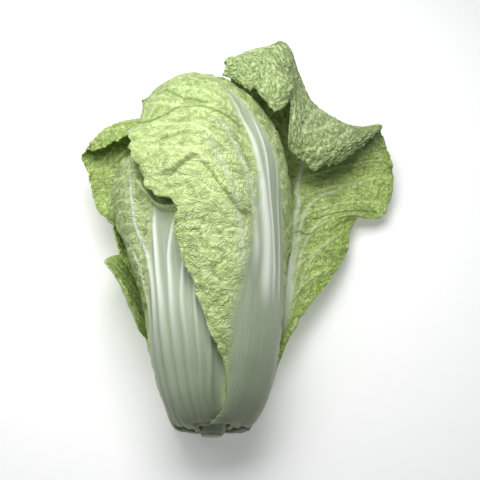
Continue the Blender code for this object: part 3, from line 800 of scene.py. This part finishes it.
def rgb(hex_code):
    """A colour written as in a picture, made linear."""
    parts = [int(hex_code[i : i + 2], 16) / 255 for i in (0, 2, 4)]
    return (*(c / 12.92 if c <= 0.04045 else ((c + 0.055) / 1.055) ** 2.4 for c in parts), 1)


@dataclass
class Colours:
    young: str  # of the blade near the middle
    mature: str  # of the blade near the edge
    vein: str
    stalk: tuple  # between the ribs in two tones, and on them
    painted_shade: str  # colour of the painted shade in the creases, wrinkle valleys, blister seams and the lip's hollow


HEAD_COLOURS = Colours("c6da90", "8fab58", "d8e8ac", ("a1ae93", "b4c1a7", "eaf1e4"), "5f7a2c")
OUTER_COLOURS = Colours("d3e98e", "9ec23e", "d8eaa6", ("b9c9a0", "cddab8", "e2ebd4"), "48602a")
PALE_BLADE = "bdd0a6"
# the colour of the painted shade at the stalks' base
STALK_BASE_SHADE = "748166"


def wrinkles(s, flat):
    """Large and small winding wrinkles that run mostly across the leaf, 0 in their valleys."""
    shift = s.node("ShaderNodeTexNoise", Scale=0.11, Detail=1.0, Vector=flat).outputs["Color"]
    shift = s.vector("MULTIPLY", s.vector("SUBTRACT", shift, (0.5, 0.5, 0.5)), (14.0, 14.0, 14.0))
    bent = s.vector("ADD", flat, shift)
    large = s.ridges(s.vector("MULTIPLY", bent, (0.06, 0.14, 1.0)))
    small = s.ridges(s.vector("MULTIPLY", bent, (0.18, 0.27, 1.0)))
    return large, small


def blade_colour(s, colours, place, blotch, large, small):
    painted_shade, vein = rgb(colours.painted_shade), rgb(colours.vein)
    green = s.math("ADD", s.mask("green"), s.span(blotch, 0.3, 0.7, -0.2, 0.2))
    colour = s.mix(green, rgb(colours.young), rgb(colours.mature))
    speckle = s.noise(420.0, 2.0, 0.6, place)
    colour = s.mix(s.span(speckle, 0.35, 0.7, 0.0, 0.25), colour, vein)
    # painted highlight: the crests of the wrinkles are paled towards the vein colour
    light = s.times(s.span(large, 0.3, 1.0), s.times(s.mask("crinkle"), 0.35))
    colour = s.mix(light, colour, vein)
    colour = s.mix(s.mask("pale"), colour, rgb(PALE_BLADE))
    # painted shade: the valleys of the wrinkles are darkened towards the shade colour
    dark = s.math("MAXIMUM", s.span(large, 0.0, 0.13, 1.0, 0.0), s.span(small, 0.0, 0.11, 0.35, 0.0))
    dark = s.times(dark, s.mask("crinkle"))
    colour = s.mix(s.times(dark, 0.65), colour, painted_shade)
    # painted shade in the seams between the blisters
    colour = s.mix(s.mask("seam"), colour, painted_shade)
    return s.mix(s.times(s.mask("vein"), 0.75), colour, vein)


def stalk_colour(s, colours, fibre):
    low, high, rib = (rgb(code) for code in colours.stalk)
    colour = s.mix(s.span(fibre, 0.25, 0.75), low, high)
    colour = s.mix(s.span(s.mask("rib"), 0.1, 0.8), colour, rib)
    # painted shade: the stalks are darker towards the base
    return s.mix(s.span(s.mask("t"), 0.0, 100.0, 0.8, 0.0), colour, rgb(STALK_BASE_SHADE))


def leaf_material(name, colours):
    """Green blade with a mesh of paler veins, white-green stalk; painted shade in the creases, wrinkle
    valleys and at the stalks' base, and painted highlights on the wrinkle crests.
    """
    s = Shader(name)
    place = s.node("ShaderNodeTexCoord").outputs["Object"]
    flat = s.node("ShaderNodeCombineXYZ", X=s.mask("a"), Y=s.mask("t")).outputs[0]
    blotch = s.noise(38.0, 4.0, 0.6, place)
    fibre = s.noise(1.0, 3.0, 0.6, s.vector("MULTIPLY", flat, (0.7, 0.025, 1.0)))
    large, small = wrinkles(s, flat)
    colour = blade_colour(s, colours, place, blotch, large, small)
    colour = s.mix(s.mask("white"), colour, stalk_colour(s, colours, fibre))
    # painted shade: the pucker valleys, the shadow lines along the folds and the lip's hollow
    colour = s.mix(s.times(s.mask("crease"), 0.85), colour, rgb(colours.painted_shade))
    s.feed(s.main.inputs["Base Color"], colour)
    s.feed(s.main.inputs["Roughness"], s.span(blotch, 0.3, 0.7, 0.4, 0.56))
    s.main.inputs["Subsurface Weight"].default_value = 0.1
    s.main.inputs["Subsurface Radius"].default_value = (0.6, 1.0, 0.25)
    s.main.inputs["Subsurface Scale"].default_value = 0.0015
    s.main.inputs["Specular IOR Level"].default_value = 0.4
    rise = s.math("ADD", s.span(large, 0.0, 0.6), s.times(s.span(small, 0.0, 0.6), 0.35))
    relief = s.times(rise, s.mask("crinkle"))
    relief = s.math("ADD", relief, s.times(fibre, s.times(s.mask("white"), 0.35)))
    bump = s.node("ShaderNodeBump", Strength=0.8, Distance=0.0012, Height=relief)
    s.feed(s.main.inputs["Normal"], bump.outputs["Normal"])
    return s.material


def flesh_material(name, low, high):
    """Plain grainy flesh, for the stem and the heart."""
    s = Shader(name)
    place = s.node("ShaderNodeTexCoord").outputs["Object"]
    grain = s.noise(160.0, 5.0, 0.6, place)
    s.feed(s.main.inputs["Base Color"], s.mix(s.span(grain, 0.3, 0.7), rgb(low), rgb(high)))
    s.feed(s.main.inputs["Roughness"], s.span(grain, 0.3, 0.7, 0.5, 0.65))
    bump = s.node("ShaderNodeBump", Strength=0.4, Distance=0.0004, Height=grain)
    s.feed(s.main.inputs["Normal"], bump.outputs["Normal"])
    return s.material


HEAD_LEAVES = (
    Leaf("inner_leaf_top", 75, seed=3),
    Leaf("inner_leaf_left", 205, seed=4),
    Leaf("inner_leaf_right", 325, seed=5),
    Leaf("inner_leaf_upper_left", 150, seed=6),
    Leaf("inner_leaf_upper_right", 20, seed=7),
    Leaf("bottom_leaf", 268, seed=8, rows=21),
    Leaf(
        "head_leaf_left", 117, 216,
        left=((0, 17), (30, 28), (60, 36), (92, 40), (122, 48), (144, 62), (168, 68), (216, 60)),
        right=((0, 22), (20, 29), (40, 38), (60, 44), (100, 48), (140, 48), (180, 44), (216, 36)),
        flare_left=((0, 0), (110, 0), (150, 4), (190, 11), (216, 11)), over=(),
        ends=((-1, 0.9), (-0.6, 1), (-0.3, 1), (-0.05, 0.94), (0.3, 0.9), (1, 0.84)),
        folds=(Fold(((-16, 182), (-6, 168), (6, 164), (18, 166)), 5, 1, 90),),
        ribs=2, seed=9, rows=22, cols=6,
    ),
    Leaf(
        "head_leaf_right", 40,
        left=(
            (12, 19), (26, 21), (44, 26), (58, 33), (86, 49), (108, 57), (126, 69), (140, 73),
            (166, 76), (171, 87), (180, 97), (204, 107), (222, 112), (262, 119), (285, 122),
        ),
        right=((0, 17), (30, 30), (60, 40), (110, 50), (160, 62), (210, 66), (285, 68)),
        folds=(
            Fold(((-86, 188), (-78, 192), (-68, 195), (-60, 183), (-50, 169), (-34, 158)), 5, 1, 40),
            Fold(((-108, 250), (-88, 250), (-62, 245), (-50, 241), (-36, 230), (-22, 223)), 5, -1, 30),
        ),
        over=((-1, -30, -42), (-0.5, -20, -22), (0, -14, 0), (0.5, 6, 22), (1, 24, 40)),
        ribs=2, spread=0.55, seed=10, rows=24, cols=7,
    ),
)

OUTER_RIGHT = (
    ((12, 10, 19), (16, 10, 21), (20, 10, 24), (24, 10, 28), (27, 10, 33), (29, 10, 38)),
    ((16, 40, 6), (24, 40, 8), (31, 40, 12), (37, 40, 17), (42, 40, 22), (45, 40, 28)),
    ((22, 80, 4), (32, 80, 8), (42, 80, 14), (50, 80, 22), (56, 80, 30), (61, 84, 38)),
    ((28, 115, 5), (40, 115, 11), (52, 115, 20), (60, 115, 32), (76, 120, 32), (96, 126, 26)),
    ((30, 150, 4), (44, 150, 10), (56, 150, 20), (64, 150, 33), (88, 155, 29), (116, 158, 19)),
    ((32, 185, 4), (46, 185, 10), (59, 185, 20), (69, 184, 32), (99, 189, 26), (131, 194, 16)),
    ((34, 225, 8), (50, 222, 14), (64, 220, 22), (78, 218, 30), (115, 214, 22), (158, 199, 17)),
    ((36, 265, 16), (54, 262, 22), (70, 258, 28), (88, 250, 30), (123, 245, 24), (164, 238, 20)),
    ((16, 304, 58), (50, 308, 50), (74, 300, 50), (96, 276, 42), (128, 262, 34), (160, 260, 28)),
    ((13, 303, 94), (49, 321, 90), (65, 331, 80), (83, 290, 60), (120, 270, 46), (154, 279, 36)),
    ((12, 288, 106), (34, 289, 105), (61, 284, 98), (77, 252, 74), (109, 244, 58), (150, 274, 42)),
    ((7, 277, 110), (31, 262, 105), (53, 245, 97), (67, 227, 68), (94, 223, 50), (146, 269, 42)),
)

OUTER_LEFT = (
    ((-18, 10, 31), (-16, 10, 27), (-13, 10, 23), (-9, 10, 20), (-4, 10, 18)),
    ((-29, 40, 24), (-26, 40, 19), (-22, 40, 14), (-16, 40, 10), (-9, 40, 6)),
    ((-43, 90, 32), (-40, 90, 25), (-35, 90, 17), (-28, 90, 11), (-16, 90, 6)),
    ((-58, 138, 52), (-57, 135, 44), (-54, 135, 33), (-42, 135, 16), (-25, 135, 5)),
    ((-80, 171, 56), (-74, 170, 48), (-66, 170, 36), (-52, 170, 17), (-30, 170, 5)),
    ((-99, 199, 50), (-85, 200, 45), (-70, 200, 36), (-54, 200, 18), (-32, 200, 7)),
    ((-101, 214, 50), (-88, 220, 42), (-73, 225, 36), (-56, 226, 20), (-34, 228, 10)),
    ((-110, 235, 50), (-95, 246, 44), (-77, 252, 38), (-58, 258, 26), (-38, 262, 16)),
    ((-104, 246, 54), (-92, 261, 53), (-79, 270, 51), (-61, 274, 48), (-41, 278, 44)),
    ((-103, 236, 58), (-87, 240, 62), (-71, 250, 64), (-56, 262, 64), (-42, 272, 62)),
)

LOOSE_LEAVES = (
    Leaf(
        "outer_leaf_right", 333, 400, "outer_leaf",
        body=((0, 1.5), (35, 3.4), (100, 3), (180, 1.6), (260, 0.5), (300, 0.1)),
        net=OUTER_RIGHT, midrib=3, cuts=((2.4, 0.08, 0.22), (1.3, 0.02, 0.3)), seed=11, rows=28, cols=21,
    ),
    Leaf(
        "outer_leaf_left", 195, 330, "outer_leaf",
        body=((0, 1), (35, 2.4), (100, 2), (180, 1), (300, 0.1)),
        net=OUTER_LEFT, midrib=3, seed=12, rows=24, cols=14,
    ),
)

LOWER_LEAF = Leaf(
    "outer_leaf_lower", 228, 165, "outer_leaf",
    left=((0, 8), (30, 12), (80, 13), (130, 12), (165, 8)),
    right=((0, 6), (50, 9), (68, 18), (86, 66), (110, 80), (140, 76), (165, 60)),
    body=((0, 0), (12, 1.5), (60, 2.5), (120, 1.2), (165, 0.4)),
    flare_right=((0, 0), (80, 1), (108, 8), (140, 11), (165, 12)), over=(), waves=1.5, seed=13, rows=14,
)

HEAD_RIGHT_RIBS = (
    Rib(((120, -3), (136, -3), (182, -8), (206, -13), (230, -17), (252, -28), (275, -46)), 5.2, 1.2, 0.85),
    Rib(((140, -15), (170, -20), (200, -28), (224, -40), (250, -62)), 4.6, 0.7, 0.55),
    Rib(((135, -28), (174, -38), (206, -50), (236, -72)), 4.4, 0.6, 0.45),
    Rib(((125, 5), (160, 2), (200, -3), (230, -6), (262, -14)), 2.2, 0.8, 0.75),
    Rib(((120, 13), (130, 13), (180, 12), (230, 8)), 2.4, 0.7, 0.6),
)

HEAD_LEFT_RIBS = (
    Rib(((0, -12), (30, -18), (60, -24), (92, -25), (122, -31), (150, -42), (175, -55)), 2.2, 1.1, 0.7),
    Rib(
        ((0, -8), (30, -13), (60, -17), (96, -18), (132, -21), (162, -30), (188, -29), (212, -27)),
        2.5, 1.5, 0.9,
    ),
    Rib(((0, -4), (30, -7), (60, -9), (96, -11), (126, -13), (150, -13), (178, -10)), 3.2, 1.9, 1.0),
    Rib(((0, 0), (30, -1), (60, -2), (96, -3), (124, -3), (148, 1), (175, 14)), 2.7, 1.6, 0.9),
    Rib(((0, 4), (30, 5), (60, 5), (94, 4), (116, 6), (136, 12), (165, 26)), 2.5, 1.4, 0.8),
    Rib(((0, 8), (30, 11), (60, 13), (94, 13), (120, 17), (150, 30)), 2.3, 1.2, 0.7),
    Rib(((0, 12), (30, 17), (60, 21), (90, 23), (125, 32)), 2.2, 1.0, 0.6),
)

OUTER_RIBS = (
    Rib(((0, 0), (100, 2), (160, 3), (201, 2), (216, -3), (233, -4), (290, -8)), 3.4, 1.2, 0.75),
    Rib(((0, 4), (120, 6), (163, 8), (190, 10), (203, 13), (214, 20), (226, 34), (240, 54)), 3.0, 0.9, 0.7),
    Rib(((0, 6), (110, 8), (150, 13), (171, 20), (185, 28), (200, 40), (213, 56)), 2.6, 0.8, 0.6),
    Rib(((0, 8), (80, 10), (120, 15), (140, 22), (155, 31), (170, 44)), 2.3, 0.7, 0.5),
    Rib(((0, 10), (60, 12), (95, 17), (115, 25), (130, 35)), 2.0, 0.6, 0.4),
    Rib(((280, 42), (300, 30), (337, 14), (368, 2), (400, 1)), 2.0, 1.0, 0.5, 60),
    Rib(((280, 60), (300, 46), (348, 24), (374, 14), (400, 12)), 1.5, 0.8, 0.6, 60),
    Rib(((290, 70), (300, 62), (350, 46), (370, 36), (400, 28)), 1.4, 0.8, 0.6, 60),
)

DOME_FOLD = ((-79, 187), (-73, 193), (-64, 200), (-56, 191), (-49, 180), (-41, 170), (-31, 161))

# What each leaf has in the scene besides its form.
LOOKS = {
    "head_leaf_right": Look(
        300, 162, HEAD_RIGHT_RIBS,
        white_left=(
            (0, -18), (44, -27), (94, -27), (130, -24), (170, -17), (206, -15), (250, -24), (275, -40),
        ),
        white_right=((0, 22), (60, 28), (110, 28), (160, 24), (200, 16), (240, 0), (275, -36)),
        white_soft=12.0, pucker=(9, 16), pucker_height=2.2, crease=0.5, cell_height=0.1, vein=0.35,
        green=(0.02, 0.3), green_along=((0, 0.1), (60, 0), (215, 0), (250, 0.4), (330, 0.55)),
        crinkle=0.75, shade_line_width=1.0,
        folds=(
            SharpFold(DOME_FOLD, 4.2, 1, 40),
            SharpFold(
                ((-112, 236), (-87, 238), (-74, 243), (-62, 240), (-51, 236), (-42, 233)), 4.5, -1, 30
            ),
            SharpFold(((-94, 214), (-84, 220), (-70, 222), (-58, 214)), 2.0, 1, 22),
        ),
        # painted shadow lines along the folds
        lines=(
            tuple((a, t - 2) for a, t in DOME_FOLD),
            ((-112, 243), (-100, 241), (-87, 245), (-74, 250), (-51, 243), (-38, 239), (-28, 236)),
            ((-90, 270), (-75, 259), (-56, 250)),
        ),
    ),
    "head_leaf_left": Look(
        236, 138, HEAD_LEFT_RIBS,
        white_left=((0, -22), (60, -29), (92, -28), (126, -22), (160, -14), (190, -12)),
        white_right=((0, 22), (60, 32), (90, 30), (120, 12), (150, 2), (190, -6)),
        white_soft=9.0, spacing=9.0, slope=((0, 0.5), (300, 0.5)), pucker=(9, 8), pucker_height=1.4,
        crease=0.65, green=(0.0, 0.1), green_left=0.6, vein=0.7, vein_width=(0.8, 0.7), crinkle=0.8,
        lip=((-20, 190), (-14, 180), (-6, 168), (6, 164), (18, 166)),
    ),
    "bottom_leaf": Look(200, 90, green=(0.3, 0.6)),
    "inner_leaf_upper_left": Look(200, 90, green=(0.35, 0.6)),
    "inner_leaf_upper_right": Look(200, 90, green=(0.2, 0.5)),
    "inner_leaf_top": Look(100, 50, green=(0.1, 0.3)),
    "inner_leaf_left": Look(100, 50, green=(0.1, 0.3)),
    "inner_leaf_right": Look(100, 50, green=(0.1, 0.3)),
    "outer_leaf_right": Look(
        330, 150, OUTER_RIBS,
        white_left=((0, -20), (60, -16), (110, -7), (150, -2), (200, 1), (320, 3)),
        white_right=((0, 20), (60, 16), (110, 9), (150, 5), (200, 1), (320, 0)),
        slope=((0, 0.9), (270, 0.9), (310, -0.9), (400, -0.9)),
        pucker=(8, 9), pucker_height=1.5, crease=0.5, cell=6.0, cell_height=0.3, vein=0.7,
        green=(0.35, 0.75), crinkle=0.95, frill=2.0,
        # painted shadow lines along the wrinkles
        lines=(((22, 186), (44, 199), (62, 212)), ((8, 172), (16, 168))),
        blister=((0, 0.3), (270, 0.35), (330, 0.9), (400, 1)),
        pale=((0, 0), (290, 0), (320, 0.5), (400, 0.5)),
    ),
    "outer_leaf_left": Look(
        240, 110, slope=((0, 0.9), (200, 0.9), (240, -0.8), (330, -0.8)), spacing=16.0,
        pucker=(8, 9), pucker_height=1.5, crease=0.5, cell=6.0, green=(0.3, 0.5), crinkle=0.95, frill=2.0,
        blister=((0, 0.3), (200, 0.4), (250, 0.8), (330, 0.9)),
    ),
    "outer_leaf_lower": Look(
        150, 75, pucker=(6, 12), pucker_height=0.8, cell=6.0, spacing=9, slope=((0, 1.2), (300, 1.2)),
        vein=1.0, green=(0.9, 1.0), crinkle=0.9,
    ),
}


def add_to_pile(pile, cover, outer):
    """Lays the flat facets of an outer face on the pile, but for what stands well away from it."""
    for axis in (0, 1):
        x = np.linspace(0, outer.shape[axis] - 1, (outer.shape[axis] - 1) * 5 + 1)
        i = np.minimum(x.astype(int), outer.shape[axis] - 2)
        part = np.expand_dims(x - i, (1, 2) if axis == 0 else (0, 2))
        outer = np.take(outer, i, axis) * (1 - part) + np.take(outer, i + 1, axis) * part
    b, theta, h = CHART.place_of(stand_up(outer))
    near = h < pile.read(cover, b, theta) + STANDS_AWAY
    pile.lay(b[near], theta[near], h[near])


def dress(leaf, inner, outer, masks):
    piece = fine_solid(leaf.name + "_fine", inner, outer, masks)
    piece.data.materials.append(MATERIALS[leaf.colour])
    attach(piece, "root")
    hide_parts(leaf.name)


def lay_head_leaf(pile, leaf):
    cover = pile.cover()
    dress(leaf, *fine_head_leaf(pile, cover, leaf, LOOKS[leaf.name]))
    b, theta, height = head_leaf(pile, cover, leaf)
    outer = lay_down(CHART.point(b, theta, height))
    outer[..., 2] = np.maximum(outer[..., 2], 0)
    add_to_pile(pile, cover, outer)


def cabbage():
    pile = Pile()
    for leaf in HEAD_LEAVES:
        lay_head_leaf(pile, leaf)
    cover = pile.cover()
    for leaf in LOOSE_LEAVES:
        dress(leaf, *fine_loose_leaf(pile, cover, leaf, LOOKS[leaf.name]))
        add_to_pile(pile, cover, loose_leaf(pile, cover, leaf))
    lay_head_leaf(pile, LOWER_LEAF)
    for node, low, high in (("stem", "7d8460", "a3a882"), ("heart", "d8dd90", "f0f0bc")):
        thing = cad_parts[node]
        thing.data.materials.clear()
        thing.data.materials.append(flesh_material(node + "_flesh", low, high))


def stage():
    bpy.ops.mesh.primitive_plane_add(size=8, location=(0, 0, FLOOR_HEIGHT))
    floor = bpy.context.object
    floor.name = "floor"
    made = Shader("pale_floor")
    made.main.inputs["Base Color"].default_value = (0.93, 0.93, 0.93, 1)
    made.main.inputs["Emission Color"].default_value = (1, 1, 1, 1)
    made.main.inputs["Emission Strength"].default_value = 0.2
    made.main.inputs["Roughness"].default_value = 0.9
    floor.data.materials.append(made.material)


def lights():
    world = bpy.data.worlds.new("studio")
    bpy.context.scene.world = world
    world.use_nodes = True
    background = world.node_tree.nodes["Background"]
    background.inputs["Color"].default_value = (0.95, 0.98, 1.0, 1)
    background.inputs["Strength"].default_value = 0.18
    lamp("key", (-0.03, 0.14, 0.5), 0.35, 2.5, (0, 0.03, 0.08))
    lamp("fill", (-0.5, 0.25, 0.5), 0.6, 1.35, (-0.03, 0.03, 0.05))


def lamp(name, place, size, watts, target):
    light = bpy.data.lights.new(name, "AREA")
    light.size = size
    light.energy = watts
    thing = bpy.data.objects.new(name, light)
    bpy.context.scene.collection.objects.link(thing)
    thing.location = place
    aim(thing, target)


def aim(thing, target):
    thing.rotation_euler = (Vector(target) - thing.location).to_track_quat("-Z", "Y").to_euler()


def camera():
    lens = bpy.data.cameras.new("camera")
    lens.lens = LENS
    thing = bpy.data.objects.new("camera", lens)
    bpy.context.scene.collection.objects.link(thing)
    target = (np.array(LOOK_AT) - (*ORIGIN, 0)) * MM
    back = np.array([0, -math.cos(CAMERA_RISE), math.sin(CAMERA_RISE)])
    thing.location = target + CAMERA_AWAY * back
    aim(thing, target)
    bpy.context.scene.camera = thing


MATERIALS = {
    "head_leaf": leaf_material("head_leaf", HEAD_COLOURS),
    "outer_leaf": leaf_material("outer_leaf", OUTER_COLOURS),
}
cabbage()
stage()
lights()
camera()
bpy.context.scene.view_settings.view_transform = "Standard"
bpy.context.view_layer.update()
